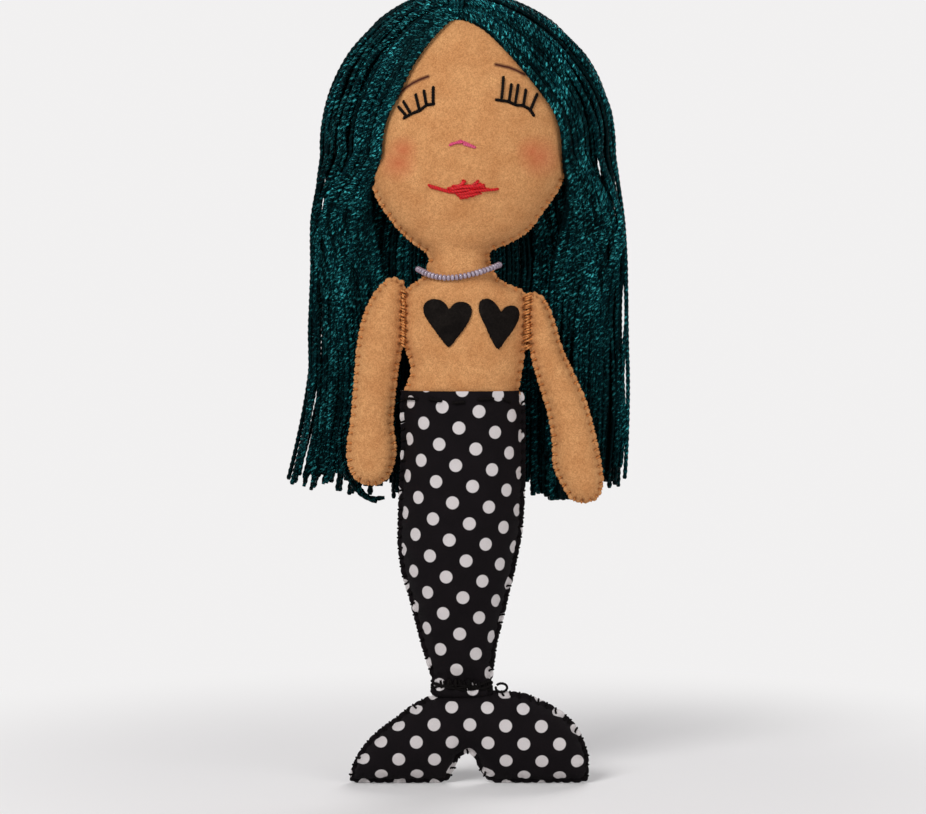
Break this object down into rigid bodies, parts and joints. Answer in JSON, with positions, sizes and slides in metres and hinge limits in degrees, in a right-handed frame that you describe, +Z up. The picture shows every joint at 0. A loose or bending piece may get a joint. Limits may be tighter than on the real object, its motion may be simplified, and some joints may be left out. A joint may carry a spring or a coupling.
{
  "type": "fabric mermaid doll",
  "caption": "Hand-sewn felt mermaid doll with a polka-dot cotton tail, long yarn hair, stitched face and bead necklace.",
  "frame": {"origin": "on the floor under the middle of the doll's whole box", "axes": "+Z up from the tail fin to the head, the face looks along -Y, +X is the doll's own left"},
  "size_m": [0.1334, 0.0464, 0.3161],
  "materials": {
    "tan_felt": "matt craft felt",
    "black_felt": "matt craft felt",
    "dotted_cotton": "black woven cotton with 5 mm white dots",
    "stuffing": "polyester fibre fill",
    "teal_yarn": "glossy twisted rayon yarn",
    "black_thread": "stranded embroidery cotton",
    "tan_thread": "stranded embroidery cotton",
    "red_thread": "stranded embroidery cotton",
    "pink_thread": "stranded embroidery cotton",
    "seed_beads": "glossy lilac-grey glass seed beads"
  },
  "bodies": {
    "torso": {"body_front_felt": "tan_felt", "body_back_felt": "tan_felt", "body_stuffing": "stuffing", "left_heart_felt": "black_felt", "right_heart_felt": "black_felt", "left_eye_embroidery": "black_thread", "right_eye_embroidery": "black_thread", "nose_stitches": "pink_thread", "lip_embroidery": "red_thread", "bead_necklace": "seed_beads", "tail_front_cotton": "dotted_cotton", "tail_back_cotton": "dotted_cotton", "tail_stuffing": "stuffing", "ankle_seam_thread": "black_thread", "parting_stitches": "teal_yarn", "left_hair_over_head_1": "teal_yarn", "left_hair_over_head_2": "teal_yarn", "left_hair_over_head_3": "teal_yarn", "left_hair_over_head_4": "teal_yarn", "left_hair_over_head_5": "teal_yarn", "right_hair_over_head_1": "teal_yarn", "right_hair_over_head_2": "teal_yarn", "right_hair_over_head_3": "teal_yarn", "right_hair_over_head_4": "teal_yarn", "right_hair_over_head_5": "teal_yarn"},
    "right_arm_seam": {"right_shoulder_seam_thread": "tan_thread"},
    "right_arm": {"right_arm_front_felt": "tan_felt", "right_arm_back_felt": "tan_felt", "right_arm_stuffing": "stuffing"},
    "left_arm_seam": {"left_shoulder_seam_thread": "tan_thread"},
    "left_arm": {"left_arm_front_felt": "tan_felt", "left_arm_back_felt": "tan_felt", "left_arm_stuffing": "stuffing"},
    "fluke": {"fluke_front_cotton": "dotted_cotton", "fluke_back_cotton": "dotted_cotton", "fluke_stuffing": "stuffing"},
    "left_hair": {"left_hair_fall_1": "teal_yarn", "left_hair_fall_2": "teal_yarn", "left_hair_fall_3": "teal_yarn", "left_hair_fall_4": "teal_yarn", "left_hair_fall_5": "teal_yarn"},
    "right_hair": {"right_hair_fall_1": "teal_yarn", "right_hair_fall_2": "teal_yarn", "right_hair_fall_3": "teal_yarn", "right_hair_fall_4": "teal_yarn", "right_hair_fall_5": "teal_yarn"}
  },
  "joints": [
    {"name": "right_arm_lift", "type": "hinge", "parent": "torso", "child": "right_arm_seam", "pos_m": [-0.02635, -0.00279, 0.19818], "axis": [0, 1, 0], "range_deg": [0, 15]},
    {"name": "right_arm_fold", "type": "hinge", "parent": "right_arm_seam", "child": "right_arm", "pos_m": [-0.02635, -0.00279, 0.18668], "axis": [0, 0, 1], "range_deg": [-10, 60]},
    {"name": "left_arm_lift", "type": "hinge", "parent": "torso", "child": "left_arm_seam", "pos_m": [0.02395, -0.00279, 0.19818], "axis": [0, -1, 0], "range_deg": [0, 12]},
    {"name": "left_arm_fold", "type": "hinge", "parent": "left_arm_seam", "child": "left_arm", "pos_m": [0.02395, -0.00279, 0.18668], "axis": [0, 0, -1], "range_deg": [-10, 60]},
    {"name": "fluke_bend", "type": "hinge", "parent": "torso", "child": "fluke", "pos_m": [-0.0024, -0.00279, 0.0393], "axis": [-1, 0, 0], "range_deg": [-60, 60]},
    {"name": "left_hair_swing", "type": "hinge", "parent": "torso", "child": "left_hair", "pos_m": [0, 0.02361, 0.227], "axis": [1, 0, 0], "range_deg": [0, 45]},
    {"name": "right_hair_swing", "type": "hinge", "parent": "torso", "child": "right_hair", "pos_m": [0, 0.02361, 0.227], "axis": [1, 0, 0], "range_deg": [0, 45]}
  ]
}
